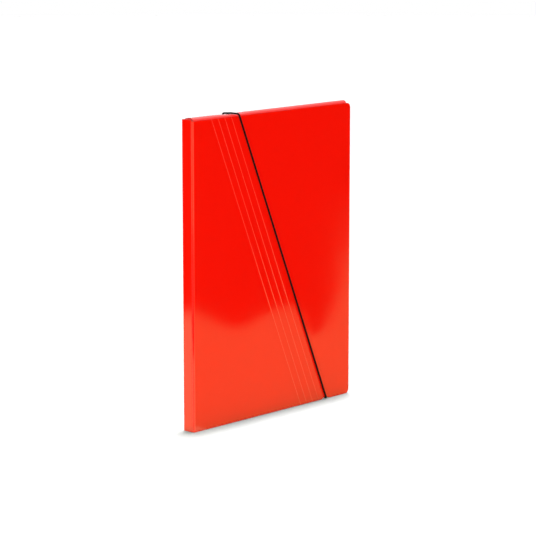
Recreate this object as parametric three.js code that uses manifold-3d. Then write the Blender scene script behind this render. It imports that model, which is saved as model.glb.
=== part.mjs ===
// A folder with three inner flaps and a slanted elastic, closed and standing on its lower edge.
// One sheet of glossy laminated card is scored and folded into the back, the spine and the flaps.
// The front cover hangs on the sheet's front crease. A round elastic starts at a crimped bar inside
// the back, goes over the top, down across the cover, under the lower edge and back to a second bar.
// Millimetres: x runs from the spine to the opening edge, y from the front to the back, z up.

import * as THREE from 'three';
import { mergeVertices } from 'three/addons/utils/BufferGeometryUtils.js';
import Module from 'manifold-3d';

// Closed folder
const folderWidth = 240;
const folderHeight = 320;
const spineDepth = 15;
const openingDepth = 10.5;

// Card and its folds
const card = 0.8;
const foldRadius = 1.2;
const bevelWidth = 1.8;
const layerGap = 0.3;

// Front cover, a little smaller than the back
const coverTopInset = 1.1;
const coverCornerRadius = 5;
const creaseGap = 0.3;

// Back panel
const backSideInset = 1;
const backCornerRadius = 3;

// Top and bottom flaps
const endFlapLength = 85;
const endFlapSpineInset = 4;
const endFlapOpeningInset = 8;
const endFlapTaper = 14;
const wallCrown = 0.5;

// Side flap, folded last and lying on the other two
const sideFlapLength = 130;
const sideFlapInset = 10;
const sideFlapTaper = 32;
const flapCornerRadius = 8;

// Elastic, which meets the top at this distance from the spine, and the bottom from the opening
const elasticDiameter = 2.2;
const elasticTopInset = 66.7;
const elasticBottomInset = 38.1;
const elasticAnchorInset = 40;
const elasticClearance = 0.15;
const elasticBend = 2;
const holeClearance = 0.5;

// Dent that the stretched elastic presses into the lower edges
const dentHalfWidth = 7;
const dentClearance = 0.3;
const floorClearance = 0.05;

// Score lines beside the elastic
const scoreCount = 4;
const scoreOffset = 10.8;
const scorePitch = 9.6;
const scoreWidth = 0.9;
const scoreDepth = 0.2;

// Crimped bars on the elastic's ends
const barLength = 13;
const barWidth = 3.6;
const barThickness = 2.4;
const barEdgeRadius = 0.9;
const barGap = 0.15;
const socketDepth = 1.5;
const socketClearance = 0.25;

// Smoothness
const foldSteps = 4;
const crownSteps = 4;
const cornerSteps = 6;
const dentSteps = 18;
const holeSides = 20;
const elasticSides = 8;
const bendSteps = 6;

// Places that follow from the sizes above
const coverLean = Math.asin( ( spineDepth - openingDepth ) / ( folderWidth - bevelWidth ) );
const backY = spineDepth - card / 2;
const backRight = folderWidth - backSideInset;
const endFlapLeft = endFlapSpineInset;
const endFlapRight = folderWidth - endFlapOpeningInset;
const sideFlapOffset = card * 1.5 + layerGap;
const endFlapOffset = sideFlapOffset + card + layerGap;
const foldOverlap = 4 * card;
const taperStart = 2 * foldRadius;
const elasticRadius = elasticDiameter / 2;
const elasticTopX = elasticTopInset;
const elasticBottomX = folderWidth - elasticBottomInset;
const elasticSlope = ( elasticBottomX - elasticTopX ) / folderHeight;
const elasticStandoff = elasticRadius + elasticClearance;
const dentTop = floorClearance + elasticDiameter + dentClearance;

// How far a cutting shape reaches past the card that it cuts
const spare = 2;
const through = 3 * spineDepth;

const wasm = await Module();
wasm.setup();

function solidOf( geometry ) {

	const bare = geometry.index ? geometry.toNonIndexed() : geometry.clone();
	bare.deleteAttribute( 'normal' );
	bare.deleteAttribute( 'uv' );
	const merged = mergeVertices( bare, 1e-4 );
	return new wasm.Manifold( new wasm.Mesh( {
		numProp: 3,
		vertProperties: new Float32Array( merged.attributes.position.array ),
		triVerts: new Uint32Array( merged.index.array )
	} ) );

}

function geometryOf( solid ) {

	const { vertProperties, triVerts } = solid.getMesh();
	const geometry = new THREE.BufferGeometry();
	geometry.setAttribute( 'position', new THREE.BufferAttribute( vertProperties, 3 ) );
	geometry.setIndex( new THREE.BufferAttribute( triVerts, 1 ) );
	geometry.computeVertexNormals();
	return geometry;

}

function named( name, geometry, material ) {

	const mesh = new THREE.Mesh( geometry, material );
	mesh.name = name;
	return mesh;

}

// How far the leaning front stands behind the plane of the front crease.
function frontY( x ) {

	return Math.max( 0, x - bevelWidth ) * Math.tan( coverLean );

}

// Outline of a card that follows a path of points through the middle of its thickness,
// and turns each corner of the path on a round fold.
function cardOutline( path ) {

	const radius = foldRadius - card / 2;
	const points = path.map( ( [ u, v ] ) => new THREE.Vector2( u, v ) );
	const oneSide = [];
	const otherSide = [];
	const addAcross = ( middle, direction ) => {

		const across = new THREE.Vector2( - direction.y, direction.x ).multiplyScalar( card / 2 );
		oneSide.push( middle.clone().sub( across ) );
		otherSide.unshift( middle.clone().add( across ) );

	};

	const last = points.length - 1;
	addAcross( points[ 0 ], points[ 1 ].clone().sub( points[ 0 ] ).normalize() );
	for ( let i = 1; i < last; i ++ ) {

		const into = points[ i ].clone().sub( points[ i - 1 ] ).normalize();
		const out = points[ i + 1 ].clone().sub( points[ i ] ).normalize();
		const turn = Math.atan2( into.cross( out ), into.dot( out ) );
		const side = Math.sign( turn ) * radius;
		const setback = radius * Math.tan( Math.abs( turn ) / 2 );
		const centre = points[ i ].clone().addScaledVector( into, - setback );
		centre.add( new THREE.Vector2( - into.y, into.x ).multiplyScalar( side ) );
		for ( let step = 0; step <= foldSteps; step ++ ) {

			const direction = into.clone().rotateAround( new THREE.Vector2(), turn * step / foldSteps );
			const arm = new THREE.Vector2( direction.y, - direction.x ).multiplyScalar( side );
			addAcross( centre.clone().add( arm ), direction );

		}

	}

	addAcross( points[ last ], points[ last ].clone().sub( points[ last - 1 ] ).normalize() );
	return [ ...oneSide, ...otherSide ];

}

// Solid between like sections in planes of constant x. Each section lists its ( y, z ) points.
function loftAlongX( stations, sectionAt ) {

	const sections = stations.map( ( x ) => {

		const outline = sectionAt( x );
		return THREE.ShapeUtils.isClockWise( outline ) ? outline.reverse() : outline;

	} );
	const count = sections[ 0 ].length;
	const positions = [];
	const faces = [];
	stations.forEach( ( x, i ) => {

		sections[ i ].forEach( ( point ) => positions.push( x, point.x, point.y ) );

	} );
	for ( let i = 0; i < stations.length - 1; i ++ ) {

		for ( let k = 0; k < count; k ++ ) {

			const near = i * count + k;
			const nearNext = i * count + ( k + 1 ) % count;
			faces.push( near, nearNext, nearNext + count );
			faces.push( near, nearNext + count, near + count );

		}

	}

	const end = ( stations.length - 1 ) * count;
	for ( const [ a, b, c ] of THREE.ShapeUtils.triangulateShape( sections[ 0 ], [] ) ) {

		faces.push( a, c, b );
		faces.push( end + a, end + b, end + c );

	}

	const geometry = new THREE.BufferGeometry();
	geometry.setAttribute( 'position', new THREE.Float32BufferAttribute( positions, 3 ) );
	geometry.setIndex( faces );
	return solidOf( geometry );

}

// Solid of an ( x, z ) shape, from one y to another.
function plate( shape, fromY, toY ) {

	const depth = toY - fromY;
	const geometry = new THREE.ExtrudeGeometry( shape, {
		depth,
		bevelEnabled: false,
		curveSegments: cornerSteps
	} );
	geometry.rotateX( Math.PI / 2 );
	geometry.translate( 0, toY, 0 );
	return solidOf( geometry );

}

// Solid of an ( x, y ) outline, from one z to another.
function upright( outline, fromZ, toZ ) {

	const depth = toZ - fromZ;
	const geometry = new THREE.ExtrudeGeometry( new THREE.Shape( outline ), { depth, bevelEnabled: false } );
	geometry.translate( 0, 0, fromZ );
	return solidOf( geometry );

}

function block( fromX, toX, fromY, toY, fromZ, toZ ) {

	const geometry = new THREE.BoxGeometry( toX - fromX, toY - fromY, toZ - fromZ );
	geometry.translate( ( fromX + toX ) / 2, ( fromY + toY ) / 2, ( fromZ + toZ ) / 2 );
	return solidOf( geometry );

}

// Closed polygon whose corners are rounded where a radius is given: [ x, z, radius ].
function roundedShape( corners ) {

	const shape = new THREE.Shape();
	const points = corners.map( ( [ x, z ] ) => new THREE.Vector2( x, z ) );
	corners.forEach( ( [ x, z, radius = 0 ], i ) => {

		const before = points[ ( i + points.length - 1 ) % points.length ].clone().sub( points[ i ] ).normalize();
		const after = points[ ( i + 1 ) % points.length ].clone().sub( points[ i ] ).normalize();
		const start = points[ i ].clone().addScaledVector( before, radius );
		const end = points[ i ].clone().addScaledVector( after, radius );
		if ( i === 0 ) {

			shape.moveTo( start.x, start.y );

		} else {

			shape.lineTo( start.x, start.y );

		}

		if ( radius > 0 ) {

			shape.quadraticCurveTo( x, z, end.x, end.y );

		}

	} );
	return shape;

}

// Height of the lower edges above the floor where the elastic has pressed them in.
function dentRise( distance ) {

	const share = Math.min( 1, Math.abs( distance ) / dentHalfWidth );
	return dentTop * ( 1 + Math.cos( Math.PI * share ) ) / 2;

}

// x of the elastic as it runs under the folder from the front to the back.
function elasticUnderX( y ) {

	return elasticBottomX + elasticSlope * ( y - frontY( elasticBottomX ) );

}

// Points of a lower edge, from the right to the left, over its dent.
function dentedEdge( centreX ) {

	const points = [];
	for ( let step = 0; step <= dentSteps; step ++ ) {

		const distance = dentHalfWidth * ( 1 - 2 * step / dentSteps );
		points.push( [ centreX + distance, dentRise( distance ) ] );

	}

	return points;

}

function spineAndBack() {

	const bevelShift = card * ( Math.SQRT1_2 - 1 / 2 );
	const creaseEnd = [ bevelWidth + card, bevelShift - card / 2 ];
	const section = cardOutline( [
		creaseEnd,
		[ card / 2, bevelWidth + bevelShift ],
		[ card / 2, backY ],
		[ backRight, backY ]
	] );
	const outline = roundedShape( [
		[ - spare, 0 ],
		[ backRight, 0, backCornerRadius ],
		[ backRight, folderHeight, backCornerRadius ],
		[ - spare, folderHeight ]
	] );
	const coverRoom = block(
		bevelWidth, bevelWidth + spare,
		- spare, card + layerGap,
		- spare, folderHeight + spare
	);
	return upright( section, 0, folderHeight )
		.intersect( plate( outline, - through, through ) )
		.subtract( coverRoom );

}

// What the round folds of the flaps take away from the square edges of the back panel.
function foldRoom() {

	const frontOfBack = spineDepth - card - layerGap;
	const behindBack = spineDepth + spare;
	const dent = dentedEdge( elasticUnderX( backY ) ).map( ( [ x, z ] ) => [ x, z + foldRadius ] );
	const bottom = roundedShape( [
		[ endFlapLeft, - spare ],
		[ endFlapRight, - spare ],
		[ endFlapRight, foldRadius ],
		...dent,
		[ endFlapLeft, foldRadius ]
	] );
	const top = block(
		endFlapLeft, endFlapRight,
		frontOfBack, behindBack,
		folderHeight - foldRadius, folderHeight + spare
	);
	const side = block(
		backRight - foldRadius, backRight + spare,
		frontOfBack, behindBack,
		sideFlapInset, folderHeight - sideFlapInset
	);
	return plate( bottom, frontOfBack, behindBack ).add( top ).add( side );

}

// Keeps the flap of an end between its tapering sides. Inward is 1 for the bottom and -1 for the top.
function endFlapOutline( foldZ, inward ) {

	const pastFold = foldZ - inward * spare;
	const taperZ = foldZ + inward * taperStart;
	const freeZ = foldZ + inward * endFlapLength;
	return roundedShape( [
		[ endFlapLeft, pastFold ],
		[ endFlapRight, pastFold ],
		[ endFlapRight, taperZ ],
		[ endFlapRight - endFlapTaper, freeZ, flapCornerRadius ],
		[ endFlapLeft + endFlapTaper, freeZ, flapCornerRadius ],
		[ endFlapLeft, taperZ ]
	] );

}

// The wall of the top flap is crowned, and narrows with the folder towards the opening.
function topFlap() {

	const wallZ = folderHeight - card / 2;
	const stubZ = folderHeight - foldRadius - foldOverlap;
	const section = ( x ) => {

		const flapY = frontY( x ) + endFlapOffset;
		const wall = [];
		for ( let step = 0; step <= crownSteps; step ++ ) {

			const share = step / crownSteps;
			const rise = wallCrown * 4 * share * ( 1 - share );
			wall.push( [ backY + ( flapY - backY ) * share, wallZ + rise ] );

		}

		return cardOutline( [ [ backY, stubZ ], ...wall, [ flapY, folderHeight - endFlapLength ] ] );

	};

	return loftAlongX( [ endFlapLeft, endFlapRight ], section )
		.intersect( plate( endFlapOutline( folderHeight, - 1 ), - through, through ) );

}

// The bottom flap's fold rises over the elastic, which dents it.
function bottomFlap() {

	const stubZ = dentTop + foldRadius + foldOverlap;
	const section = ( x ) => {

		const flapY = frontY( x ) + endFlapOffset;
		const outline = cardOutline( [
			[ backY, stubZ ],
			[ backY, card / 2 ],
			[ flapY, card / 2 ],
			[ flapY, endFlapLength ]
		] );
		return outline.map( ( point ) => {

			const lift = point.y > taperStart ? 0 : dentRise( x - elasticUnderX( point.x ) );
			return new THREE.Vector2( point.x, point.y + lift );

		} );

	};

	const dentFrom = elasticUnderX( 0 ) - dentHalfWidth;
	const dentTo = elasticUnderX( spineDepth ) + dentHalfWidth;
	const stations = [ endFlapLeft ];
	for ( let step = 0; step <= dentSteps; step ++ ) {

		stations.push( dentFrom + ( dentTo - dentFrom ) * step / dentSteps );

	}

	stations.push( endFlapRight );
	return loftAlongX( stations, section )
		.intersect( plate( endFlapOutline( 0, 1 ), - through, through ) );

}

function sideFlap() {

	const wallX = backRight - card / 2;
	const freeX = folderWidth - sideFlapLength;
	const flapY = ( x ) => frontY( x ) + sideFlapOffset;
	const section = cardOutline( [
		[ backRight - foldRadius - foldOverlap, backY ],
		[ wallX, backY ],
		[ wallX, flapY( wallX ) ],
		[ freeX, flapY( freeX ) ]
	] );
	const low = sideFlapInset;
	const high = folderHeight - sideFlapInset;
	const taperX = backRight - taperStart;
	const outline = roundedShape( [
		[ backRight + spare, low ],
		[ backRight + spare, high ],
		[ taperX, high ],
		[ freeX, high - sideFlapTaper, flapCornerRadius ],
		[ freeX, low + sideFlapTaper, flapCornerRadius ],
		[ taperX, low ]
	] );
	return upright( section, low, high ).intersect( plate( outline, - through, through ) );

}

// Where the elastic's ends pass through the back panel.
const upperHole = new THREE.Vector3(
	elasticTopX - elasticSlope * ( spineDepth - frontY( elasticTopX ) + elasticAnchorInset ),
	spineDepth,
	folderHeight - elasticAnchorInset
);
const lowerHole = new THREE.Vector3(
	elasticUnderX( spineDepth ) + elasticSlope * elasticAnchorInset,
	spineDepth,
	elasticAnchorInset
);

function elasticHole( place ) {

	const radius = elasticRadius + holeClearance;
	const geometry = new THREE.CylinderGeometry( radius, radius, 2 * spare, holeSides );
	geometry.translate( place.x, place.y, place.z );
	return solidOf( geometry );

}

function foldedSheet() {

	const solid = spineAndBack()
		.subtract( foldRoom() )
		.add( topFlap() )
		.add( bottomFlap() )
		.add( sideFlap() )
		.subtract( elasticHole( upperHole ) )
		.subtract( elasticHole( lowerHole ) );
	return geometryOf( solid );

}

// The cover is drawn flat, with the crease on its left edge at x = 0.
function frontCover() {

	const right = folderWidth - bevelWidth;
	const top = folderHeight - coverTopInset;
	const outline = roundedShape( [
		[ creaseGap, 0 ],
		[ creaseGap, top ],
		[ right, top, coverCornerRadius ],
		[ right, 0, coverCornerRadius ],
		...dentedEdge( elasticBottomX - bevelWidth )
	] );
	let solid = plate( outline, 0, card );
	for ( let line = 0; line < scoreCount; line ++ ) {

		solid = solid.subtract( scoreLine( - scoreOffset - scorePitch * line ) );

	}

	return geometryOf( solid );

}

// Shallow groove across the whole cover, parallel to the elastic.
function scoreLine( offset ) {

	const section = new THREE.Shape( [
		new THREE.Vector2( - scoreWidth, - scoreDepth ),
		new THREE.Vector2( scoreWidth, - scoreDepth ),
		new THREE.Vector2( 0, scoreDepth )
	] );
	const rise = folderHeight + 2 * spare;
	const length = rise * Math.hypot( 1, elasticSlope );
	const geometry = new THREE.ExtrudeGeometry( section, { depth: length, bevelEnabled: false } );
	geometry.rotateY( - Math.atan( elasticSlope ) );
	const footX = elasticBottomX - bevelWidth + offset + elasticSlope * spare;
	geometry.translate( footX, 0, - spare );
	return solidOf( geometry );

}

// A route of straight runs with round bends between them, sampled only where it bends.
class StretchedRoute extends THREE.Curve {

	constructor( corners, bends ) {

		super();
		this.points = [ corners[ 0 ] ];
		for ( let i = 1; i < corners.length - 1; i ++ ) {

			this.addBend( corners[ i - 1 ], corners[ i ], corners[ i + 1 ], bends[ i - 1 ] );

		}

		this.points.push( corners[ corners.length - 1 ] );

	}

	addBend( before, corner, after, radius ) {

		const into = corner.clone().sub( before ).normalize();
		const out = after.clone().sub( corner ).normalize();
		const turn = into.angleTo( out );
		const axis = into.clone().cross( out ).normalize();
		const inward = axis.clone().cross( into );
		const start = corner.clone().addScaledVector( into, - radius * Math.tan( turn / 2 ) );
		const centre = start.clone().addScaledVector( inward, radius );
		const steps = Math.max( 1, Math.round( bendSteps * turn / ( Math.PI / 2 ) ) );
		for ( let step = 0; step <= steps; step ++ ) {

			const arm = inward.clone().negate().applyAxisAngle( axis, turn * step / steps );
			this.points.push( centre.clone().addScaledVector( arm, radius ) );

		}

	}

	getPoint( t, target = new THREE.Vector3() ) {

		const place = t * ( this.points.length - 1 );
		const index = Math.min( Math.floor( place ), this.points.length - 2 );
		return target.lerpVectors( this.points[ index ], this.points[ index + 1 ], place - index );

	}

	getUtoTmapping( u ) {

		return u;

	}

}

function elasticRoute() {

	const front = ( x ) => frontY( x ) - elasticStandoff;
	const back = spineDepth + elasticStandoff;
	const over = folderHeight + elasticStandoff;
	const under = floorClearance + elasticRadius;
	const inBar = spineDepth - card - barGap - socketDepth + layerGap;
	const topX = elasticTopX - elasticSlope * elasticStandoff;
	const overX = topX - elasticSlope * ( back - front( topX ) );
	const underX = elasticBottomX + elasticSlope * ( back - front( elasticBottomX ) );
	const crownY = ( back + front( topX ) ) / 2;
	const corners = [
		new THREE.Vector3( upperHole.x, inBar, upperHole.z ),
		new THREE.Vector3( upperHole.x, back, upperHole.z ),
		new THREE.Vector3( overX, back, over ),
		new THREE.Vector3( ( overX + topX ) / 2, crownY, over + wallCrown ),
		new THREE.Vector3( topX, front( topX ), over ),
		new THREE.Vector3( elasticBottomX, front( elasticBottomX ), under ),
		new THREE.Vector3( underX, back, under ),
		new THREE.Vector3( lowerHole.x, back, lowerHole.z ),
		new THREE.Vector3( lowerHole.x, inBar, lowerHole.z )
	];
	const atHole = elasticStandoff;
	const overCrown = 4 * elasticBend;
	const bends = [ atHole, elasticBend, overCrown, elasticBend, elasticBend, elasticBend, atHole ];
	return new StretchedRoute( corners, bends );

}

function elasticBand() {

	const section = new THREE.Shape();
	for ( let side = 0; side < elasticSides; side ++ ) {

		const angle = 2 * Math.PI * side / elasticSides;
		const x = elasticRadius * Math.cos( angle );
		const y = elasticRadius * Math.sin( angle );
		if ( side === 0 ) {

			section.moveTo( x, y );

		} else {

			section.lineTo( x, y );

		}

	}

	section.closePath();
	const route = elasticRoute();
	return new THREE.ExtrudeGeometry( section, { steps: route.points.length - 1, extrudePath: route } );

}

// Flattened metal bar that lies across the inside of its hole and holds the elastic's end in a socket.
function crimpedBar() {

	const half = { width: barWidth / 2, thickness: barThickness / 2, length: barLength / 2 };
	const section = roundedShape( [
		[ - half.width, - half.thickness, barEdgeRadius ],
		[ half.width, - half.thickness, barEdgeRadius ],
		[ half.width, half.thickness, barEdgeRadius ],
		[ - half.width, half.thickness, barEdgeRadius ]
	] );
	const bevel = barEdgeRadius / 2;
	const body = new THREE.ExtrudeGeometry( section, {
		depth: barLength - 2 * bevel,
		bevelThickness: bevel,
		bevelSize: bevel,
		bevelOffset: - bevel,
		bevelSegments: 2,
		curveSegments: 4
	} );
	body.translate( 0, 0, bevel - half.length );
	const socketRadius = elasticRadius + socketClearance;
	const socket = new THREE.CylinderGeometry( socketRadius, socketRadius, 2 * socketDepth, 16 );
	socket.translate( 0, half.thickness, 0 );
	return geometryOf( solidOf( body ).subtract( solidOf( socket ) ) );

}

function placedBar( name, hole, material ) {

	const bar = named( name, crimpedBar(), material );
	bar.position.set( hole.x, spineDepth - card - barGap - barThickness / 2, hole.z );
	bar.rotation.y = Math.PI / 2 + Math.atan( elasticSlope );
	return bar;

}

const redCard = new THREE.MeshStandardMaterial( { color: 0xf01805, roughness: 0.2, metalness: 0 } );
const redCoverCard = new THREE.MeshStandardMaterial( { color: 0xf5220c, roughness: 0.2, metalness: 0 } );
const blackElastic = new THREE.MeshStandardMaterial( { color: 0x17110f, roughness: 0.8, metalness: 0 } );
const nickelSteel = new THREE.MeshStandardMaterial( { color: 0xb9b6ae, roughness: 0.35, metalness: 1 } );

const cover = named( 'front_cover', frontCover(), redCoverCard );
cover.position.x = bevelWidth;
cover.rotation.z = coverLean;

const pieces = new THREE.Group();
pieces.add( named( 'folded_sheet', foldedSheet(), redCard ) );
pieces.add( cover );
pieces.add( named( 'elastic_band', elasticBand(), blackElastic ) );
pieces.add( placedBar( 'elastic_bar_upper', upperHole, nickelSteel ) );
pieces.add( placedBar( 'elastic_bar_lower', lowerHole, nickelSteel ) );

// The origin is the middle of the closed folder's footprint, on the surface it stands on.
const extent = new THREE.Box3().setFromObject( pieces, true );
const middle = extent.getCenter( new THREE.Vector3() );
pieces.position.set( - middle.x, - middle.y, 0 );

const folder = new THREE.Group();
folder.add( pieces );

export default folder;
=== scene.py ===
"""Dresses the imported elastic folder: lacquered red card, a braided elastic and its metal bars.

Lengths inside the mesh code are millimetres from the foot of the folder's spine, as x to the
opening edge, y to the back and z up. to_frame() turns them into the frame's metres.
"""

import math

import bmesh
import bpy
import numpy as np
from bpy.props import FloatProperty, FloatVectorProperty, IntProperty, PointerProperty
from mathutils import Matrix, Vector


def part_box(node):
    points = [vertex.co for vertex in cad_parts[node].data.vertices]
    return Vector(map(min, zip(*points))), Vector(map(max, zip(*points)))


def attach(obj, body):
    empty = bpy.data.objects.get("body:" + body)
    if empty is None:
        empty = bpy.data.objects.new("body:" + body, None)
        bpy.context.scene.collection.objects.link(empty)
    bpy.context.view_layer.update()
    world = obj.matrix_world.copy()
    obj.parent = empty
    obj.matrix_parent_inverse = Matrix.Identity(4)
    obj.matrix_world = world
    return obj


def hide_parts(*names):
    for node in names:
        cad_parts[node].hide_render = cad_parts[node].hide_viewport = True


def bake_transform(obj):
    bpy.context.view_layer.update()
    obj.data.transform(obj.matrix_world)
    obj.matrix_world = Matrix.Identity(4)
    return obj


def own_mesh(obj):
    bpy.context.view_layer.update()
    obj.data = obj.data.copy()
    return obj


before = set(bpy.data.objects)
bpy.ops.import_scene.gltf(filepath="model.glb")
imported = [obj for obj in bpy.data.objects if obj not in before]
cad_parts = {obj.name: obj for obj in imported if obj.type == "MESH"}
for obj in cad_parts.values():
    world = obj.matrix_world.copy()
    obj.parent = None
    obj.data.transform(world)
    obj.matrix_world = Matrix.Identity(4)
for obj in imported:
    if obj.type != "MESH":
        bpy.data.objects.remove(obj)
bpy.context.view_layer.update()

bl_info = {
    "name": "Elastic Folder",
    "version": (1, 0, 0),
    "blender": (4, 5, 0),
    "location": "View3D > Sidebar > Folder",
    "description": "A closed card folder with inner flaps and a slanted braided elastic",
    "category": "Add Mesh",
}

# The folder's sizes are those of the solids that the pieces replace, but for the end flaps, which
# reach 3.5 mm further right here, the top wall's swell, and the elastic, 0.13 mm thinner in radius
FOLDER_WIDTH = 240.0
FOLDER_HEIGHT = 320.0
SPINE_DEPTH = 15.0
CARD = 0.8
FOLD_RADIUS = 1.2
BEVEL = 1.8
COVER_TOP = 318.9
COVER_CORNER = 5.0
COVER_LEAN = math.asin((SPINE_DEPTH - 10.5) / (FOLDER_WIDTH - BEVEL))
BACK_RIGHT = 239.0
BACK_CORNER = 3.0
FLAP_LEFT = 4.0
FLAP_RIGHT = 235.5
FLAP_LENGTH = 85.0
FLAP_TAPER = 14.0
FLAP_CORNER = 8.0
FLAP_OFFSET = 2.6
WALL_CROWN = 0.5
WALL_SWELL = 1.1
# How far along the wall the elastic keeps the swell down
PRESS_REACH = 12.0
SIDE_FREE_X = 110.0
SIDE_INSET = 10.0
SIDE_TAPER = 32.0
SIDE_OFFSET = 1.5
ELASTIC_SLOPE = 0.4225
ELASTIC_TOP_X = 66.7
ELASTIC_FOOT_X = 201.9
ELASTIC_RADIUS = 0.97
HOLES = ((43.98, 280.0), (223.54, 40.0))
HOLE_RADIUS = 1.6
DENT_HALF_WIDTH = 7.0
DENT_TOP = 2.55
# Height over which the dent in the cover's lower edge dies out
DENT_HEIGHT = 10.0
# Distances of the score lines from the elastic, along x
FIRST_SCORE = 10.8
SCORE_SPACING = 9.6

# The elastic's line with the radius of each of its bends, from the upper bar over the top, down
# the front and under the foot to the lower bar
ELASTIC_CORNERS = (
    (43.98, 12.85, 280),
    (43.98, 16.25, 280),
    (59.29, 16.25, 321.25),
    (62.73, 8.11, 321.75),
    (66.17, -0.03, 321.25),
    (201.9, 2.53, 1.15),
    (207.70, 16.25, 1.15),
    (223.54, 16.25, 40),
    (223.54, 12.85, 40),
)
ELASTIC_BENDS = (1.25, 2, 8, 2, 2, 2, 1.25)
ELASTIC_STEP = 0.5

# Middle surface of the card: BEND is its radius in a fold, and on the bevel, which starts at
# BEVEL_X, x + y is BEVEL_SUM everywhere
HALF_CARD = CARD / 2
BEND = FOLD_RADIUS - HALF_CARD
BACK_MIDDLE = SPINE_DEPTH - HALF_CARD
BEVEL_X = HALF_CARD + BEND * math.tan(math.pi / 8) / math.sqrt(2)
BEVEL_SUM = BEVEL + HALF_CARD * math.sqrt(2)

# The crease between the bevel and the cover: its radius, its end and the start of the cover's grid
CREASE_RADIUS = 0.6
CREASE_END_X = 2.9
GRID_START_X = 3.2

# Middles of the two folds, painted paler there as strained lacquer and as a painted highlight, and
# how far that reaches
CREASE_X = 1.9
SPINE_FOLD_Y = 1.6
STRAIN_AND_HIGHLIGHT_REACH = 0.5

# Share of a step along x that leads straight away from the elastic
ACROSS = 1 / math.hypot(1, ELASTIC_SLOPE)

# In degrees: an edge that turns more than the first is a cut edge and is rounded, and one that
# turns less than the second is shaded smooth
CUT_EDGE_ANGLE = 50
SMOOTH_ANGLE = 40

# Stage, in metres. The key light stands behind the camera and points at the folder's middle
FLOOR_RADIUS = 6.0
PAPER_LIFT = 0.0005
FOLDER_MIDDLE = (0, 0, 0.16)
KEY_PLACE = (-4.60, -3.86, 1.6)
KEY_SIZE = 3.0
OVERHEAD_SPREAD = math.radians(7.6)
OVERHEAD_LEAN_RIGHT = math.radians(3.5)
OVERHEAD_LEAN_BACK = math.radians(2.0)
SKY_IN_GLOSS = 1.2

# The photograph's camera: it looks from here at a point just left of and below the folder's middle
CAMERA_AZIMUTH = math.radians(-45.903)
CAMERA_ELEVATION = math.radians(10.371)
CAMERA_DISTANCE = 2.3605
AIM_LEFT = 0.00249
AIM_DOWN = 0.00571

# Outlines of the lit sheets on the floor, in metres from the folder's middle: to the front they
# end in the long slanted border that the cover mirrors, and to the left in the spine's
MIRRORED_PAPER = (
    (0.335, -0.442),
    (0.310, -0.393),
    (0.284, -0.339),
    (0.294, -0.319),
    (0.329, -0.335),
    (0.385, -0.358),
    (0.415, -0.372),
    (0.445, -0.368),
    (0.310, -0.218),
    (0.336, -0.228),
    (0.402, -0.272),
    (0.492, -0.338),
    (0.604, -0.424),
    (0.726, -0.520),
    (0.884, -0.638),
    (1.100, -0.800),
    (1.250, -0.700),
    (2.000, 0.000),
    (1.000, 0.900),
    (-0.100, 0.900),
    (-0.100, -0.030),
    (-0.250, -0.390),
    (0.050, -0.460),
)
MIRRORED_SIDE_PAPER = (
    (-0.100, 0.900),
    (-0.400, 0.578),
    (-0.674, 0.296),
    (-0.508, -0.124),
    (-0.378, -0.259),
    (-0.250, -0.390),
    (-0.100, -0.030),
)
MIRRORED_FAR_PAPER = (
    (-1.500, -0.700),
    (-0.900, -0.950),
    (-0.100, -1.200),
    (0.500, -1.300),
    (1.000, -3.500),
    (-2.500, -3.500),
    (-3.500, -2.000),
)

SPINE_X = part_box("folded_sheet")[0].x
BACK_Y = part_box("folded_sheet")[1].y


def to_frame(x, y, z):
    """A point of the folder in the frame's metres."""
    return Vector((SPINE_X + x / 1000, BACK_Y + (y - SPINE_DEPTH) / 1000, z / 1000))


def linear(hex_colour):
    """The linear colour of an sRGB hex value."""
    parts = [int(hex_colour[i : i + 2], 16) / 255 for i in (1, 3, 5)]
    return tuple(c / 12.92 if c <= 0.04045 else ((c + 0.055) / 1.055) ** 2.4 for c in parts)


class FolderCardSettings(bpy.types.PropertyGroup):
    lacquer: FloatVectorProperty(
        name="Lacquered face",
        description="Colour of the dyed card under its clear lacquer",
        subtype="COLOR",
        default=linear("#F10C00"),
    )
    inside: FloatVectorProperty(
        name="Inside face",
        description="Colour of the card's bare inner face",
        subtype="COLOR",
        default=linear("#DC2413"),
    )
    cut_edge: FloatVectorProperty(
        name="Cut edge",
        description="Colour of the dyed core where the card is cut",
        subtype="COLOR",
        default=linear("#A8140A"),
    )
    edge_rounding: FloatProperty(
        name="Edge rounding",
        description="Radius that the cutting knife leaves along the card's edges",
        subtype="DISTANCE",
        default=0.00022,
    )
    groove_width: FloatProperty(
        name="Score width",
        description="Width of each score line on the cover",
        subtype="DISTANCE",
        default=0.0011,
    )
    groove_depth: FloatProperty(
        name="Score depth",
        description="Depth of each score line on the cover",
        subtype="DISTANCE",
        default=0.00018,
    )
    groove_count: IntProperty(
        name="Score lines",
        description="How many score lines run beside the elastic",
        default=4,
    )


class FolderElasticSettings(bpy.types.PropertyGroup):
    colour: FloatVectorProperty(
        name="Elastic",
        description="Colour of the braided polyester round the rubber core",
        subtype="COLOR",
        default=linear("#070303"),
    )
    braid_pitch: FloatProperty(
        name="Braid pitch",
        description="Length along the cord in which the braid repeats",
        subtype="DISTANCE",
        default=0.0016,
    )
    plating: FloatVectorProperty(
        name="Bar plating",
        description="Colour of the nickel plating on the crimped bars",
        subtype="COLOR",
        default=linear("#C9C4B8"),
    )


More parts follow.
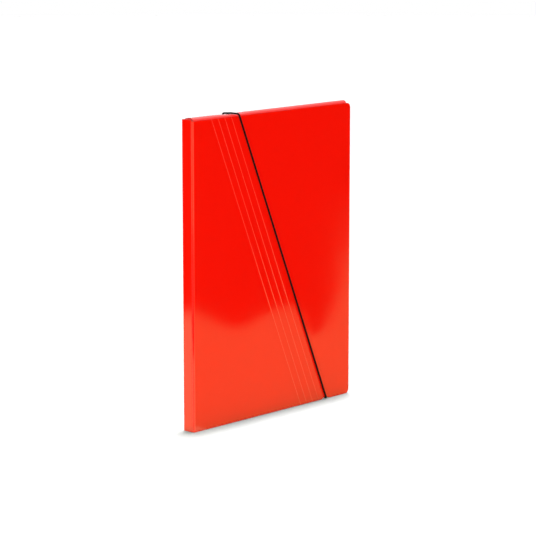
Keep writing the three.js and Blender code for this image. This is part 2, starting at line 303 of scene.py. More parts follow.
class FolderStageSettings(bpy.types.PropertyGroup):
    floor: FloatVectorProperty(
        name="Floor",
        description="Colour of the pale floor",
        subtype="COLOR",
        default=linear("#F4F4F4"),
    )
    key_power: FloatProperty(
        name="Key light",
        description="Power of the soft box behind the camera",
        unit="POWER",
        default=283.0,
    )
    overhead: FloatProperty(
        name="Overhead light",
        description="Strength of the even light from above",
        default=3.4,
    )
    surround: FloatProperty(
        name="Surround",
        description="Strength of the even light from all around",
        default=0.1,
    )
    lens: FloatProperty(
        name="Lens",
        description="Focal length on a sensor 36 mm wide",
        unit="CAMERA",
        default=151.46,
    )


def add_node(tree, kind, sockets=(), **settings):
    """A node with its settings, each named socket set to a value or linked to an output."""
    node = tree.nodes.new(kind)
    for name, value in settings.items():
        setattr(node, name, value)
    for name, value in dict(sockets).items():
        if isinstance(value, bpy.types.NodeSocket):
            tree.links.new(value, node.inputs[name])
        else:
            node.inputs[name].default_value = value
    return node


def new_material(name):
    material = bpy.data.materials.new(name)
    material.use_nodes = True
    material.node_tree.nodes.clear()
    return material, material.node_tree


def finish_material(material, tree, shader):
    add_node(tree, "ShaderNodeOutputMaterial", {"Surface": shader.outputs["BSDF"]})
    return material


def card_shade(tree, colour, pale):
    """The card's colour, clouded by its fibres and painted paler at creases and score lines, as
    strained lacquer and as a painted highlight.
    """
    place = add_node(tree, "ShaderNodeAttribute", attribute_name="flat_card").outputs["Vector"]
    strain_and_highlight = add_node(tree, "ShaderNodeAttribute", attribute_name="strain_and_highlight").outputs["Fac"]
    # Fibre clouds are about 6 mm across
    clouds = add_node(
        tree, "ShaderNodeTexNoise", {"Vector": place, "Scale": 1 / 0.006, "Detail": 3.0}
    )
    clouded = add_node(
        tree,
        "ShaderNodeMix",
        {
            "Factor": clouds.outputs["Fac"],
            "A": (*[c * 0.985 for c in colour], 1),
            "B": (*[c * 1.01 for c in colour], 1),
        },
        data_type="RGBA",
    )
    # The paler strained lacquer and painted highlight break up in flecks about 1 mm long
    flecks = add_node(
        tree, "ShaderNodeTexNoise", {"Vector": place, "Scale": 1 / 0.001, "Detail": 2.0}
    )
    share = add_node(
        tree,
        "ShaderNodeMath",
        {0: strain_and_highlight, 1: flecks.outputs["Fac"]},
        operation="MULTIPLY",
    )
    shade = add_node(
        tree,
        "ShaderNodeMix",
        {"Factor": share.outputs[0], "A": clouded.outputs["Result"], "B": (*pale, 1)},
        data_type="RGBA",
    )
    return place, shade.outputs["Result"]


def lacquered_card(settings):
    """Dyed card, roller-coated with clear lacquer: deep red, a slight orange peel in its gloss."""
    material, tree = new_material("lacquered_card")
    # The pale colour paints strained lacquer and a highlight along the crease and the score lines
    place, shade = card_shade(tree, settings.lacquer, linear("#FF5C48"))
    # Orange peel is about 2.5 mm across, and the sheet's own cockle about 60 mm
    peel = add_node(
        tree, "ShaderNodeTexNoise", {"Vector": place, "Scale": 1 / 0.0025, "Detail": 2.0}
    )
    cockle = add_node(
        tree, "ShaderNodeTexNoise", {"Vector": place, "Scale": 1 / 0.06, "Detail": 1.0}
    )
    cockled = add_node(
        tree,
        "ShaderNodeBump",
        {"Height": cockle.outputs["Fac"], "Strength": 1.0, "Distance": 0.00022},
    )
    peeled = add_node(
        tree,
        "ShaderNodeBump",
        {
            "Height": peel.outputs["Fac"],
            "Strength": 1.0,
            "Distance": 0.00003,
            "Normal": cockled.outputs["Normal"],
        },
    )
    shader = add_node(
        tree,
        "ShaderNodeBsdfPrincipled",
        {
            "Base Color": shade,
            "Roughness": 0.5,
            "IOR": 1.5,
            "Specular IOR Level": 0.0,
            "Coat Weight": 1.0,
            "Coat Roughness": 0.09,
            "Coat IOR": 1.5,
            "Normal": cockled.outputs["Normal"],
            "Coat Normal": peeled.outputs["Normal"],
        },
    )
    return finish_material(material, tree, shader)


def bare_card(settings):
    """The same dyed card without lacquer: calendered smooth, so it is satin and a little duller."""
    material, tree = new_material("bare_card")
    # The pale colour paints strained card and a highlight along the crease and the score lines
    place, shade = card_shade(tree, settings.inside, linear("#E8806A"))
    # Fibres and felt marks are about 0.5 mm across
    felt = add_node(
        tree, "ShaderNodeTexNoise", {"Vector": place, "Scale": 1 / 0.0005, "Detail": 4.0}
    )
    bump = add_node(
        tree,
        "ShaderNodeBump",
        {"Height": felt.outputs["Fac"], "Strength": 0.6, "Distance": 0.00002},
    )
    shader = add_node(
        tree,
        "ShaderNodeBsdfPrincipled",
        {
            "Base Color": shade,
            "Roughness": 0.55,
            "IOR": 1.47,
            "Normal": bump.outputs["Normal"],
        },
    )
    return finish_material(material, tree, shader)


def cut_card_edge(settings):
    """The dyed core where a steel rule has cut it: matt, darker and fibrous in fine layers."""
    material, tree = new_material("cut_card_edge")
    # The pale colour paints strained card and a highlight where the crease and score lines reach
    # the edge
    place, shade = card_shade(tree, settings.cut_edge, linear("#C8402C"))
    fibres = add_node(
        tree, "ShaderNodeTexNoise", {"Vector": place, "Scale": 1 / 0.0003, "Detail": 3.0}
    )
    bump = add_node(
        tree,
        "ShaderNodeBump",
        {"Height": fibres.outputs["Fac"], "Strength": 0.8, "Distance": 0.00004},
    )
    shader = add_node(
        tree,
        "ShaderNodeBsdfPrincipled",
        {
            "Base Color": shade,
            "Roughness": 0.8,
            "IOR": 1.47,
            "Normal": bump.outputs["Normal"],
        },
    )
    return finish_material(material, tree, shader)


def braided_polyester(settings):
    """Black polyester yarn braided round rubber: matt diamonds, a faint sheen on their crowns."""
    material, tree = new_material("braided_polyester")
    braid = add_node(tree, "ShaderNodeUVMap", uv_map="braid").outputs["UV"]
    # The filaments in each yarn are too fine to show, so they are drawn about 0.2 mm apart
    filaments = add_node(
        tree,
        "ShaderNodeTexWave",
        {"Vector": braid, "Scale": 2.2, "Distortion": 1.5, "Detail": 1.0},
        bands_direction="DIAGONAL",
    )
    shade = add_node(
        tree,
        "ShaderNodeMix",
        {
            "Factor": filaments.outputs["Fac"],
            "A": (*[c * 0.6 for c in settings.colour], 1),
            "B": (*[c * 1.5 for c in settings.colour], 1),
        },
        data_type="RGBA",
    )
    bump = add_node(
        tree,
        "ShaderNodeBump",
        {"Height": filaments.outputs["Fac"], "Strength": 0.7, "Distance": 0.00005},
    )
    shader = add_node(
        tree,
        "ShaderNodeBsdfPrincipled",
        {
            "Base Color": shade.outputs["Result"],
            "Roughness": 0.85,
            "Specular IOR Level": 0.1,
            "Sheen Weight": 0.01,
            "Sheen Roughness": 0.5,
            "Normal": bump.outputs["Normal"],
        },
    )
    return finish_material(material, tree, shader)


def nickel_plated_steel(settings):
    """Crimped steel, barrel-plated with nickel: a soft grey shine with fine tumbling marks."""
    material, tree = new_material("nickel_plated_steel")
    place = add_node(tree, "ShaderNodeTexCoord").outputs["Object"]
    # Tumbling marks are about 0.4 mm apart
    marks = add_node(
        tree, "ShaderNodeTexNoise", {"Vector": place, "Scale": 1 / 0.0004, "Detail": 4.0}
    )
    polish = add_node(
        tree,
        "ShaderNodeMapRange",
        {"Value": marks.outputs["Fac"], "To Min": 0.22, "To Max": 0.42},
    )
    bump = add_node(
        tree,
        "ShaderNodeBump",
        {"Height": marks.outputs["Fac"], "Strength": 0.4, "Distance": 0.00002},
    )
    shader = add_node(
        tree,
        "ShaderNodeBsdfPrincipled",
        {
            "Base Color": (*settings.plating, 1),
            "Metallic": 1.0,
            "Roughness": polish.outputs["Result"],
            "Normal": bump.outputs["Normal"],
        },
    )
    return finish_material(material, tree, shader)


def front_y(x):
    """How far the leaning front stands behind the front crease."""
    return max(0.0, x - BEVEL) * math.tan(COVER_LEAN)


def dent_rise(distance):
    """Height of the lower edges above the floor where the elastic has pressed them in."""
    share = min(1.0, abs(distance) / DENT_HALF_WIDTH)
    return DENT_TOP * (1 + math.cos(math.pi * share)) / 2


def under_x(y):
    """x of the elastic as it runs under the folder from the front to the back."""
    return ELASTIC_FOOT_X + ELASTIC_SLOPE * (y - front_y(ELASTIC_FOOT_X))


def over_x(y):
    """x of the elastic as it runs over the folder's top from the front to the back."""
    return ELASTIC_TOP_X - ELASTIC_SLOPE * y


def spread(start, end, count):
    return [start + (end - start) * i / count for i in range(count + 1)]


def bent_line(corners, radius, degrees_a_step=9.0):
    """Points of a flat line through the corners, with a round bend at each inner corner."""
    corners = [Vector(corner) for corner in corners]
    points = [corners[0]]
    for before, corner, after in zip(corners, corners[1:], corners[2:]):
        into = (corner - before).normalized()
        out = (after - corner).normalized()
        turn = math.atan2(into.x * out.y - into.y * out.x, into.dot(out))
        arm = Vector((-into.y, into.x)) * math.copysign(radius, turn)
        centre = corner - into * radius * math.tan(abs(turn) / 2) + arm
        steps = max(2, round(abs(math.degrees(turn)) / degrees_a_step))
        for step in range(steps + 1):
            points.append(centre + Matrix.Rotation(turn * step / steps, 2) @ -arm)
    points.append(corners[-1])
    return [p for i, p in enumerate(points) if i == 0 or (p - points[i - 1]).length > 1e-4]


def rounded_outline(corners, steps=6):
    """A closed outline, rounded at each corner (x, z, radius) that has a radius."""
    points = []
    for i, corner in enumerate(corners):
        middle = Vector(corner[:2])
        radius = corner[2] if len(corner) > 2 else 0
        if not radius:
            points.append(middle)
            continue
        before = (Vector(corners[i - 1][:2]) - middle).normalized() * radius
        after = (Vector(corners[(i + 1) % len(corners)][:2]) - middle).normalized() * radius
        for t in spread(0, 1, steps):
            points.append(middle + before * (1 - t) ** 2 + after * t**2)
    return points


def add_strip(mesh, rows):
    """Quads between rows of points."""
    rows = [[mesh.verts.new(to_frame(*point)) for point in row] for row in rows]
    for row, following in zip(rows, rows[1:]):
        for a, b, c, d in zip(row, row[1:], following[1:], following):
            mesh.faces.new((a, b, c, d))


def add_panel(mesh, loops, y_at):
    """A flat panel inside the first loop of (x, z) points, with a hole for each other loop."""
    edges = []
    for loop in loops:
        verts = [mesh.verts.new(to_frame(x, y_at(x), z)) for x, z in loop]
        edges += [mesh.edges.new(pair) for pair in zip(verts, verts[1:] + verts[:1])]
    bmesh.ops.triangle_fill(mesh, edges=edges, use_beauty=True)


def thick_card(name, mesh, outward, materials, strain_and_highlight_at):
    """Turns a card's middle surface into solid card with rounded edges.

    Outward is a point on the lacquered side of the first face's plane. The materials are those
    of the lacquered face, the bare face and the cut edge.
    """
    bmesh.ops.remove_doubles(mesh, verts=mesh.verts, dist=1e-6)
    bmesh.ops.recalc_face_normals(mesh, faces=mesh.faces)
    mesh.faces.ensure_lookup_table()
    nearest = min(mesh.faces, key=lambda f: (f.calc_center_median() - outward).length)
    if nearest.normal.dot(outward - nearest.calc_center_median()) < 0:
        bmesh.ops.reverse_faces(mesh, faces=mesh.faces)
    flat = bpy.data.meshes.new(name)
    mesh.to_mesh(flat)
    mesh.free()
    for material in materials:
        flat.materials.append(material)
    piece = bpy.data.objects.new(name, flat)
    bpy.context.scene.collection.objects.link(piece)
    solid = piece.modifiers.new("Card", "SOLIDIFY")
    solid.thickness = CARD / 1000
    solid.offset = 0
    solid.use_even_offset = True
    solid.material_offset = 1
    solid.material_offset_rim = 2
    rounding = piece.modifiers.new("Knife", "BEVEL")
    rounding.width = bpy.context.scene.folder_card.edge_rounding
    rounding.segments = 3
    rounding.limit_method = "ANGLE"
    rounding.angle_limit = math.radians(CUT_EDGE_ANGLE)
    rounding.material = 2
    apply_modifiers(piece)
    smooth_below(piece.data, SMOOTH_ANGLE)
    # Flat faces keep their own direction, so the light bends only over the rounded edges
    evened = piece.modifiers.new("Even", "WEIGHTED_NORMAL")
    evened.weight = 100
    evened.keep_sharp = True
    apply_modifiers(piece)
    note_flat_place(piece.data, strain_and_highlight_at)
    # Seen by the floor, the red would tint the white paper that the light makes neutral
    piece.visible_diffuse = False
    return piece


def apply_modifiers(piece):
    shaped = piece.evaluated_get(bpy.context.evaluated_depsgraph_get())
    old = piece.data
    piece.data = bpy.data.meshes.new_from_object(shaped)
    piece.modifiers.clear()
    bpy.data.meshes.remove(old)


def note_flat_place(mesh, strain_and_highlight_at):
    """Keeps where each point is at rest, for patterns that don't slide when the cover opens."""
    places = np.array([v.co for v in mesh.vertices], float)
    flat = mesh.attributes.new("flat_card", "FLOAT_VECTOR", "POINT")
    flat.data.foreach_set("vector", places.ravel())
    # How much paler each point is painted: strained lacquer, and a painted highlight along creases
    # and score lines
    strain_and_highlight = mesh.attributes.new("strain_and_highlight", "FLOAT", "POINT")
    origin = to_frame(0, 0, 0)
    strain_and_highlight.data.foreach_set("value", [strain_and_highlight_at(*((Vector(p) - origin) * 1000)) for p in places])


def smooth_below(mesh, degrees):
    """Smooth shading, except over edges that turn more than this."""
    shape = bmesh.new()
    shape.from_mesh(mesh)
    for face in shape.faces:
        face.smooth = True
    for edge in shape.edges:
        edge.smooth = edge.is_manifold and edge.calc_face_angle() < math.radians(degrees)
    shape.to_mesh(mesh)
    shape.free()


def end_flap_y(x):
    """y of the top and the bottom flap's middle surface."""
    return front_y(x) + FLAP_OFFSET


def side_flap_y(x):
    """y of the side flap's middle surface."""
    return front_y(x) + SIDE_OFFSET


def back_middle_y(x):
    """y of the back panel's middle surface."""
    return BACK_MIDDLE


def end_wall_section(x, fold_z, edge_z):
    """Points (y, z) of the top or the bottom wall's middle surface, from the back to the flap."""
    flap_y = end_flap_y(x)
    corners = [(BACK_MIDDLE, fold_z), (BACK_MIDDLE, edge_z), (flap_y, edge_z), (flap_y, fold_z)]
    line = bent_line(corners, BEND)
    lengths = [(after - before).length for before, after in zip(line, line[1:])]
    flat = lengths.index(max(lengths))
    inner = [line[flat].lerp(line[flat + 1], t) for t in spread(0, 1, 10)[1:-1]]
    return line[: flat + 1] + inner + line[flat + 1 :]


def top_wall_rows(top_x):
    """Rows of the top wall, which swells up except where the elastic holds it down."""
    rows = []
    for x in top_x:
        row = []
        for y, z in end_wall_section(x, FOLDER_HEIGHT - FOLD_RADIUS, FOLDER_HEIGHT - HALF_CARD):
            share = (BACK_MIDDLE - y) / (BACK_MIDDLE - end_flap_y(x))
            pressed = math.exp(-(((x - over_x(y)) / PRESS_REACH) ** 2))
            crown = WALL_CROWN + WALL_SWELL * (1 - pressed)
            row.append((x, y, z + crown * 4 * share * (1 - share)))
        rows.append(row)
    return rows


def bottom_wall_rows(bottom_x):
    """Rows of the bottom wall, with the dent that the elastic presses into it."""
    rows = []
    for x in bottom_x:
        line = end_wall_section(x, FOLD_RADIUS, HALF_CARD)
        rows.append([(x, y, z + dent_rise(x - under_x(y))) for y, z in line])
    return rows


def back_outline(spine_z, side_z, top_x, bottom_x):
    """Outline of the back panel between its folds, clockwise from the foot of the spine."""
    side_fold_x = BACK_RIGHT - HALF_CARD - BEND
    low, high = SIDE_INSET, FOLDER_HEIGHT - SIDE_INSET
    corners = [
        (BACK_RIGHT, high),
        (BACK_RIGHT, FOLDER_HEIGHT, BACK_CORNER),
        (FLAP_RIGHT, FOLDER_HEIGHT),
    ]
    top_corner = rounded_outline(corners)[1:-1]
    bottom_corner = [(x, FOLDER_HEIGHT - z) for x, z in reversed(top_corner)]
    outline = [(FOLD_RADIUS, z) for z in spine_z]
    outline += [(FLAP_LEFT, FOLDER_HEIGHT)]
    outline += [(x, FOLDER_HEIGHT - FOLD_RADIUS) for x in top_x]
    outline += [(FLAP_RIGHT, FOLDER_HEIGHT), *reversed(top_corner), (BACK_RIGHT, high)]
    outline += [(side_fold_x, z) for z in reversed(side_z)]
    outline += [(BACK_RIGHT, low), *reversed(bottom_corner), (FLAP_RIGHT, 0)]
    outline += [
        (x, FOLD_RADIUS + dent_rise(x - under_x(BACK_MIDDLE))) for x in reversed(bottom_x)
    ]
    outline += [(FLAP_LEFT, 0)]
    return outline


def elastic_holes():
    """Outlines of the two holes in the back that the elastic passes through."""
    holes = []
    for x, z in HOLES:
        angles = spread(0, 2 * math.pi, 24)[:-1]
        holes.append(
            [(x + HOLE_RADIUS * math.cos(a), z + HOLE_RADIUS * math.sin(a)) for a in angles]
        )
    return holes


def add_flaps(mesh, side_x, side_z, top_x, bottom_x):
    """The bottom, the top and the side flap, each with two rounded free corners."""
    taper_z = 2 * FOLD_RADIUS
    free = rounded_outline(
        [
            (FLAP_RIGHT, taper_z),
            (FLAP_RIGHT - FLAP_TAPER, FLAP_LENGTH, FLAP_CORNER),
            (FLAP_LEFT + FLAP_TAPER, FLAP_LENGTH, FLAP_CORNER),
            (FLAP_LEFT, taper_z),
        ]
    )
    foot = [(x, FOLD_RADIUS + dent_rise(x - under_x(end_flap_y(x)))) for x in bottom_x]
    add_panel(mesh, [foot + free], end_flap_y)
    head = [(x, FOLDER_HEIGHT - FOLD_RADIUS) for x in top_x]
    add_panel(mesh, [head + [(x, FOLDER_HEIGHT - z) for x, z in free]], end_flap_y)
    low, high = SIDE_INSET, FOLDER_HEIGHT - SIDE_INSET
    side = rounded_outline(
        [
            (side_x, high),
            (SIDE_FREE_X, high - SIDE_TAPER, FLAP_CORNER),
            (SIDE_FREE_X, low + SIDE_TAPER, FLAP_CORNER),
            (side_x, low),
        ]
    )
    add_panel(mesh, [[(side_x, z) for z in side_z[1:-1]] + side], side_flap_y)


def sheet_middle():
    """Middle surface of the spine, the back and the three flaps, one sheet with round folds."""
    mesh = bmesh.new()
    spine_z = spread(0, FOLDER_HEIGHT, 32)
    side_z = spread(SIDE_INSET, FOLDER_HEIGHT - SIDE_INSET, 30)
    top_x = spread(FLAP_LEFT, FLAP_RIGHT, 38)
    dent_left = under_x(0) - DENT_HALF_WIDTH
    dent_right = under_x(SPINE_DEPTH) + DENT_HALF_WIDTH
    bottom_x = spread(FLAP_LEFT, dent_left, 24)
    bottom_x += spread(dent_left, dent_right, 24)[1:] + spread(dent_right, FLAP_RIGHT, 4)[1:]

    spine_corners = [
        (BEVEL_X, BEVEL_SUM - BEVEL_X),
        (HALF_CARD, BEVEL_SUM - HALF_CARD),
        (HALF_CARD, BACK_MIDDLE),
        (FOLD_RADIUS, BACK_MIDDLE),
    ]
    spine_line = bent_line(spine_corners, BEND)
    add_strip(mesh, [[(x, y, z) for z in spine_z] for x, y in spine_line])
    add_strip(mesh, top_wall_rows(top_x))
    add_strip(mesh, bottom_wall_rows(bottom_x))

    wall_x = BACK_RIGHT - HALF_CARD
    side_x = BACK_RIGHT - 2 * FOLD_RADIUS
    side_corners = [
        (wall_x - BEND, BACK_MIDDLE),
        (wall_x, BACK_MIDDLE),
        (wall_x, side_flap_y(wall_x)),
        (side_x, side_flap_y(side_x)),
    ]
    side_line = bent_line(side_corners, BEND)
    add_strip(mesh, [[(x, y, z) for z in side_z] for x, y in side_line])

    outline = back_outline(spine_z, side_z, top_x, bottom_x)
    add_panel(mesh, [outline, *elastic_holes()], back_middle_y)
    add_flaps(mesh, side_x, side_z, top_x, bottom_x)
    return mesh


def elastic_x(z):
    """x of the elastic at a height on the cover."""
    return ELASTIC_FOOT_X - ELASTIC_SLOPE * z


def score_offsets():
    count = bpy.context.scene.folder_card.groove_count
    return [FIRST_SCORE + SCORE_SPACING * line for line in range(count)]


def half_score():
    """Half the width of a score line, in millimetres."""
    return bpy.context.scene.folder_card.groove_width * 500


def score_share(x, z):
    """How deep the score lines are here, as a share of their full depth."""
    half = half_score()
    deepest = 0.0
    for offset in score_offsets():
        distance = abs(x - elastic_x(z) + offset) * ACROSS
        if distance < half:
            deepest = max(deepest, (1 + math.cos(math.pi * distance / half)) / 2)
    return deepest


def cover_columns(z):
    """x of the cover's grid lines at a height: they run along the score lines and the elastic."""
    half = half_score() / ACROSS
    elastic = elastic_x(z)
    lines = []
    for offset in reversed(score_offsets()):
        centre = elastic - offset
        lines += [centre + half * share for share in (-1.6, -1, -0.6, -0.3, 0, 0.3, 0.6, 1, 1.6)]
        lines.append(centre + SCORE_SPACING / 2)
    lines += [elastic + away for away in (-3, -1.5, -0.7, 0, 0.7, 1.5, 3, 5, 8, 12)]
    from_end = min(z, COVER_TOP - z)
    missing = max(0.0, COVER_CORNER - from_end)
    right = FOLDER_WIDTH - COVER_CORNER + math.sqrt(COVER_CORNER**2 - missing**2)
    # The gaps between the grid lines grow from the crease to the first score line
    left = [GRID_START_X + (lines[0] - GRID_START_X) * (i / 12) ** 1.3 for i in range(12)]
    wide = [lines[-1] + (right - lines[-1]) * (i / 16) for i in range(1, 17)]
    return left + lines + wide


def cover_y(x):
    """y of the cover's middle surface."""
    return HALF_CARD / math.cos(COVER_LEAN) + (x - BEVEL) * math.tan(COVER_LEAN)


def cover_middle():
    """Middle surface of the bevel and the front cover."""
    mesh = bmesh.new()
    full_depth = bpy.context.scene.folder_card.groove_depth
    crease_x = (BEVEL_SUM - cover_y(0)) / (1 + math.tan(COVER_LEAN))
    corners = [
        (BEVEL_X, BEVEL_SUM - BEVEL_X),
        (crease_x, BEVEL_SUM - crease_x),
        (CREASE_END_X, cover_y(CREASE_END_X)),
    ]
    crease = bent_line(corners, CREASE_RADIUS, degrees_a_step=5.0)
    near_end = [0, 0.4, 1.0, 1.8, 2.8, 4.0, 5.0, 7.0, 10.0]
    heights = near_end + spread(10, COVER_TOP - 10, 44)[1:-1]
    heights += [COVER_TOP - z for z in reversed(near_end)]
    rows = []
    for z in heights:
        row = [(x, y, z) for x, y in crease]
        for x in cover_columns(z):
            depth = score_share(x, z) * full_depth * 1000
            lift = dent_rise(x - ELASTIC_FOOT_X) * max(0.0, 1 - z / DENT_HEIGHT)
            row.append((x, cover_y(x) + depth, z + lift))
        rows.append(row)
    add_strip(mesh, rows)
    return mesh


def cover_strain_and_highlight(x, y, z):
    """How much paler the cover is painted at its crease and its score lines, from 0 to 1: strained
    lacquer and a painted highlight.
    """
    crease = max(0.0, 1 - abs(x - CREASE_X) / STRAIN_AND_HIGHLIGHT_REACH)
    return max(score_share(x, z), crease)


def sheet_strain_and_highlight(x, y, z):
    """How much paler the sheet is painted at the fold beside the bevel, from 0 to 1: strained
    lacquer and a painted highlight.
    """
    fold = max(0.0, 1 - abs(y - SPINE_FOLD_Y) / STRAIN_AND_HIGHLIGHT_REACH) if x < 1 else 0.0
    return fold * 0.5


def elastic_line():
    """Points along the middle of the elastic."""
    corners = [Vector(corner) for corner in ELASTIC_CORNERS]
    points = [corners[0]]
    for before, corner, after, radius in zip(corners, corners[1:], corners[2:], ELASTIC_BENDS):
        into = (corner - before).normalized()
        out = (after - corner).normalized()
        turn = into.angle(out)
        axis = into.cross(out).normalized()
        arm = axis.cross(into) * radius
        centre = corner - into * radius * math.tan(turn / 2) + arm
        for step in range(13):
            points.append(centre + Matrix.Rotation(turn * step / 12, 3, axis) @ -arm)
    points.append(corners[-1])
    return evenly_spaced(points, ELASTIC_STEP)


def evenly_spaced(points, gap):
    """Points about one gap apart on the line through the given points."""
    lengths = [0.0]
    for a, b in zip(points, points[1:]):
        lengths.append(lengths[-1] + (b - a).length)
    count = round(lengths[-1] / gap)
    places = [lengths[-1] * i / count for i in range(count + 1)]
    columns = [np.interp(places, lengths, [p[k] for p in points]) for k in range(3)]
    return [Vector(p) for p in zip(*columns)]


def braided_cord(name, line, radius, pitch, material):
    """A cord round a line of points, with the raised diamonds of a sixteen-yarn braid."""
    sides = 24
    diamonds = 8
    mesh = bmesh.new()
    uv = mesh.loops.layers.uv.new("braid")
    rings = []
    normal = (line[1] - line[0]).orthogonal().normalized()
    for i, point in enumerate(line):
        along = (line[min(i + 1, len(line) - 1)] - line[max(i - 1, 0)]).normalized()
        normal = (normal - along * normal.dot(along)).normalized()
        across = along.cross(normal)
        length = i * ELASTIC_STEP / pitch
        ring = []
        for side in range(sides):
            angle = 2 * math.pi * side / sides
            one_way = math.cos(diamonds * angle / 2 + math.pi * length)
            other_way = math.cos(diamonds * angle / 2 - math.pi * length)
            relief = radius * (0.93 + 0.07 * max(abs(one_way), abs(other_way)))
            spoke = normal * math.cos(angle) + across * math.sin(angle)
            place = to_frame(*(point + spoke * relief))
            ring.append((mesh.verts.new(place), diamonds * side / sides, length))
        rings.append(ring)
    for ring, following in zip(rings, rings[1:]):
        for side in range(sides):
            after = (side + 1) % sides
            corners = (ring[side], ring[after], following[after], following[side])
            face = mesh.faces.new([corner[0] for corner in corners])
            face.smooth = True
            for loop, corner in zip(face.loops, corners):
                # The last face of a ring ends at the full turn, not back at 0
                around = corner[1] if corner[1] or after else diamonds
                loop[uv].uv = (around, corner[2])
    mesh.faces.new([corner[0] for corner in reversed(rings[0])])
    mesh.faces.new([corner[0] for corner in rings[-1]])
    bmesh.ops.recalc_face_normals(mesh, faces=mesh.faces)
    cord = bpy.data.meshes.new(name)
    mesh.to_mesh(cord)
    mesh.free()
    cord.materials.append(material)
    piece = bpy.data.objects.new(name, cord)
    bpy.context.scene.collection.objects.link(piece)
    return piece


def card_materials(settings):
    """The card's three materials, made by the first piece that needs them."""
    known = bpy.data.materials
    if "lacquered_card" not in known:
        lacquered_card(settings)
        bare_card(settings)
        cut_card_edge(settings)
    return [known["lacquered_card"], known["bare_card"], known["cut_card_edge"]]


class FOLDER_OT_sheet(bpy.types.Operator):
    """Make the folded sheet: the spine, the back and the three inner flaps"""

    bl_idname = "folder.sheet"
    bl_label = "Folded Sheet"

    def execute(self, context):
        materials = card_materials(context.scene.folder_card)
        beside = to_frame(-5, SPINE_DEPTH / 2, 160)
        piece = thick_card("sheet_card", sheet_middle(), beside, materials, sheet_strain_and_highlight)
        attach(piece, "back")
        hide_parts("folded_sheet")
        return {"FINISHED"}


class FOLDER_OT_cover(bpy.types.Operator):
    """Make the front cover, with the bevel that it turns on and its score lines"""

    bl_idname = "folder.cover"
    bl_label = "Front Cover"

    def execute(self, context):
        materials = card_materials(context.scene.folder_card)
        before = to_frame(120, -5, 160)
        piece = thick_card("cover_card", cover_middle(), before, materials, cover_strain_and_highlight)
        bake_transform(piece)
        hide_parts("front_cover")
        return {"FINISHED"}


class FOLDER_OT_elastic(bpy.types.Operator):
    """Make the braided elastic, and plate the bars on its ends"""

    bl_idname = "folder.elastic"
    bl_label = "Elastic and Bars"

    def execute(self, context):
        settings = context.scene.folder_elastic
        material = braided_polyester(settings)
        pitch = settings.braid_pitch * 1000
        piece = braided_cord("braided_elastic", elastic_line(), ELASTIC_RADIUS, pitch, material)
        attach(piece, "back")
        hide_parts("elastic_band")
        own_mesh(piece)
        plating = nickel_plated_steel(settings)
        for name in ("elastic_bar_upper", "elastic_bar_lower"):
            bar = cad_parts[name]
            bar.data.materials.clear()
            bar.data.materials.append(plating)
        return {"FINISHED"}


class FOLDER_OT_stage(bpy.types.Operator):
    """Set the pale floor, the soft lights and the camera"""

    bl_idname = "folder.stage"
    bl_label = "Stage"

    def execute(self, context):
        settings = context.scene.folder_stage
        add_floor(settings)
        add_mirrored_papers()
        add_surround(context.scene, settings)
        add_lights(settings)
        add_camera(context.scene, settings)
        context.scene.view_settings.view_transform = "Standard"
        return {"FINISHED"}


def add_floor(settings):
    material, tree = new_material("matt_floor_paper")
    shader = add_node(
        tree,
        "ShaderNodeBsdfPrincipled",
        {"Base Color": (*settings.floor, 1), "Roughness": 0.9, "Specular IOR Level": 0.1},
    )
    finish_material(material, tree, shader)
    mesh = bmesh.new()
    bmesh.ops.create_circle(mesh, cap_ends=True, radius=FLOOR_RADIUS, segments=96)
    floor_mesh = bpy.data.meshes.new("studio_floor")
    mesh.to_mesh(floor_mesh)
    mesh.free()
    floor_mesh.materials.append(material)
    floor = bpy.data.objects.new("studio_floor", floor_mesh)
    floor.visible_glossy = False
    bpy.context.scene.collection.objects.link(floor)


def add_mirrored_papers():
    """What the lacquer mirrors: white paper, with the dark room beyond its edges."""
    white = paper_glow("white_paper_glow", (1.0, 0.97, 0.36), 1.0)
    add_mirrored_paper("mirrored_paper", MIRRORED_PAPER, white)
    add_mirrored_paper("mirrored_far_paper", MIRRORED_FAR_PAPER, white)
    bright = paper_glow("bright_paper_glow", (1.0, 0.97, 0.5), 1.9)
    add_mirrored_paper("mirrored_side_paper", MIRRORED_SIDE_PAPER, bright)


def paper_glow(name, colour, strength):
    material, tree = new_material(name)
    glow = add_node(tree, "ShaderNodeEmission", {"Color": (*colour, 1), "Strength": strength})
    add_node(tree, "ShaderNodeOutputMaterial", {"Surface": glow.outputs["Emission"]})
    return material


def add_mirrored_paper(name, outline, material):
    """A lit sheet on the floor that only the lacquer's mirror image shows."""
    mesh = bmesh.new()
    mesh.faces.new([mesh.verts.new((x, y, 0)) for x, y in outline])
    paper_mesh = bpy.data.meshes.new(name)
    mesh.to_mesh(paper_mesh)
    mesh.free()
    paper_mesh.materials.append(material)
    paper = bpy.data.objects.new(name, paper_mesh)
    paper.location.z = PAPER_LIFT
    paper.visible_camera = False
    paper.visible_diffuse = False
    paper.visible_shadow = False
    paper.visible_transmission = False
    bpy.context.scene.collection.objects.link(paper)


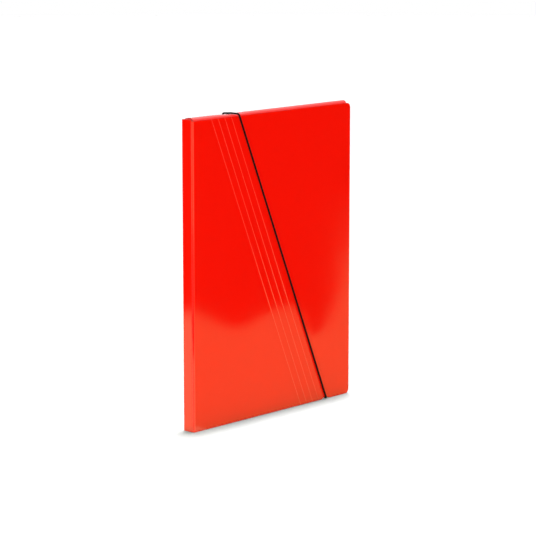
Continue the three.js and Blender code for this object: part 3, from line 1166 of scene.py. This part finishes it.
def add_surround(scene, settings):
    """A white surround for the eye. The gloss sees it white above the horizon and dark below."""
    world = bpy.data.worlds.new("studio_surround")
    world.use_nodes = True
    tree = world.node_tree
    tree.nodes.clear()
    path = add_node(tree, "ShaderNodeLightPath")
    direction = add_node(tree, "ShaderNodeTexCoord").outputs["Generated"]
    height = add_node(tree, "ShaderNodeSeparateXYZ", {"Vector": direction}).outputs["Z"]
    above = add_node(tree, "ShaderNodeMath", {0: height, 1: 0.0}, operation="GREATER_THAN")
    mirrored = add_node(
        tree, "ShaderNodeMath", {0: above.outputs[0], 1: SKY_IN_GLOSS}, operation="MULTIPLY"
    )
    white = add_node(tree, "ShaderNodeBackground", {"Color": (1, 1, 1, 1), "Strength": 1.0})
    gloss = add_node(
        tree, "ShaderNodeBackground", {"Color": (1, 1, 1, 1), "Strength": mirrored.outputs[0]}
    )
    fill = add_node(
        tree, "ShaderNodeBackground", {"Color": (1, 1, 1, 1), "Strength": settings.surround}
    )
    lit = add_node(
        tree,
        "ShaderNodeMixShader",
        {0: path.outputs["Is Glossy Ray"], 1: fill.outputs[0], 2: gloss.outputs[0]},
    )
    seen = add_node(
        tree,
        "ShaderNodeMixShader",
        {0: path.outputs["Is Camera Ray"], 1: lit.outputs[0], 2: white.outputs[0]},
    )
    add_node(tree, "ShaderNodeOutputWorld", {"Surface": seen.outputs[0]})
    scene.world = world


def add_soft_box(name, place, aim, size, power):
    """A round soft box that points at its aim."""
    light = bpy.data.lights.new(name, "AREA")
    light.shape = "DISK"
    light.size = size
    light.energy = power
    box = bpy.data.objects.new(name, light)
    box.location = place
    box.rotation_euler = (Vector(aim) - Vector(place)).to_track_quat("-Z", "Y").to_euler()
    bpy.context.scene.collection.objects.link(box)


def add_lights(settings):
    """A large soft box behind the camera, and soft even light from above."""
    add_soft_box("key_soft_box", KEY_PLACE, FOLDER_MIDDLE, KEY_SIZE, settings.key_power)
    # It leans a little, so that the contact shadow falls to the front and the left
    overhead = bpy.data.lights.new("overhead_light", "SUN")
    overhead.energy = settings.overhead
    overhead.angle = OVERHEAD_SPREAD
    holder = bpy.data.objects.new("overhead_light", overhead)
    toward = Vector((math.tan(OVERHEAD_LEAN_RIGHT), math.tan(OVERHEAD_LEAN_BACK), 1))
    holder.rotation_euler = toward.to_track_quat("Z", "Y").to_euler()
    bpy.context.scene.collection.objects.link(holder)


def add_camera(scene, settings):
    """The photograph's view: from the front left, a little above the folder's middle."""
    back = Vector(
        (
            math.sin(CAMERA_AZIMUTH) * math.cos(CAMERA_ELEVATION),
            -math.cos(CAMERA_AZIMUTH) * math.cos(CAMERA_ELEVATION),
            math.sin(CAMERA_ELEVATION),
        )
    )
    right = Vector((math.cos(CAMERA_AZIMUTH), math.sin(CAMERA_AZIMUTH), 0))
    up = back.cross(right)
    aim = to_frame(120, 7.5, 160) - right * AIM_LEFT - up * AIM_DOWN
    camera = bpy.data.cameras.new("camera")
    camera.sensor_width = 36
    camera.lens = settings.lens
    holder = bpy.data.objects.new("camera", camera)
    turned = Matrix((right, up, back)).transposed().to_4x4()
    holder.matrix_world = Matrix.Translation(aim + back * CAMERA_DISTANCE) @ turned
    scene.collection.objects.link(holder)
    scene.camera = holder


class FOLDER_PT_panel(bpy.types.Panel):
    """Buttons that make each piece, and the settings they use"""

    bl_idname = "FOLDER_PT_panel"
    bl_label = "Elastic Folder"
    bl_space_type = "VIEW_3D"
    bl_region_type = "UI"
    bl_category = "Folder"

    def draw(self, context):
        layout = self.layout
        for operator in OPERATORS:
            layout.operator(operator.bl_idname)
        for name, settings in SETTINGS.items():
            group = getattr(context.scene, name)
            for prop in settings.__annotations__:
                layout.prop(group, prop)


SETTINGS = {
    "folder_card": FolderCardSettings,
    "folder_elastic": FolderElasticSettings,
    "folder_stage": FolderStageSettings,
}
OPERATORS = (FOLDER_OT_sheet, FOLDER_OT_cover, FOLDER_OT_elastic, FOLDER_OT_stage)


def register():
    for kind in (*SETTINGS.values(), *OPERATORS, FOLDER_PT_panel):
        bpy.utils.register_class(kind)
    for name, settings in SETTINGS.items():
        setattr(bpy.types.Scene, name, PointerProperty(type=settings))


def unregister():
    for name in SETTINGS:
        delattr(bpy.types.Scene, name)
    for kind in reversed((*SETTINGS.values(), *OPERATORS, FOLDER_PT_panel)):
        bpy.utils.unregister_class(kind)


def main():
    register()
    bpy.ops.folder.sheet()
    bpy.ops.folder.cover()
    bpy.ops.folder.elastic()
    bpy.ops.folder.stage()


if __name__ == "__main__":
    main()
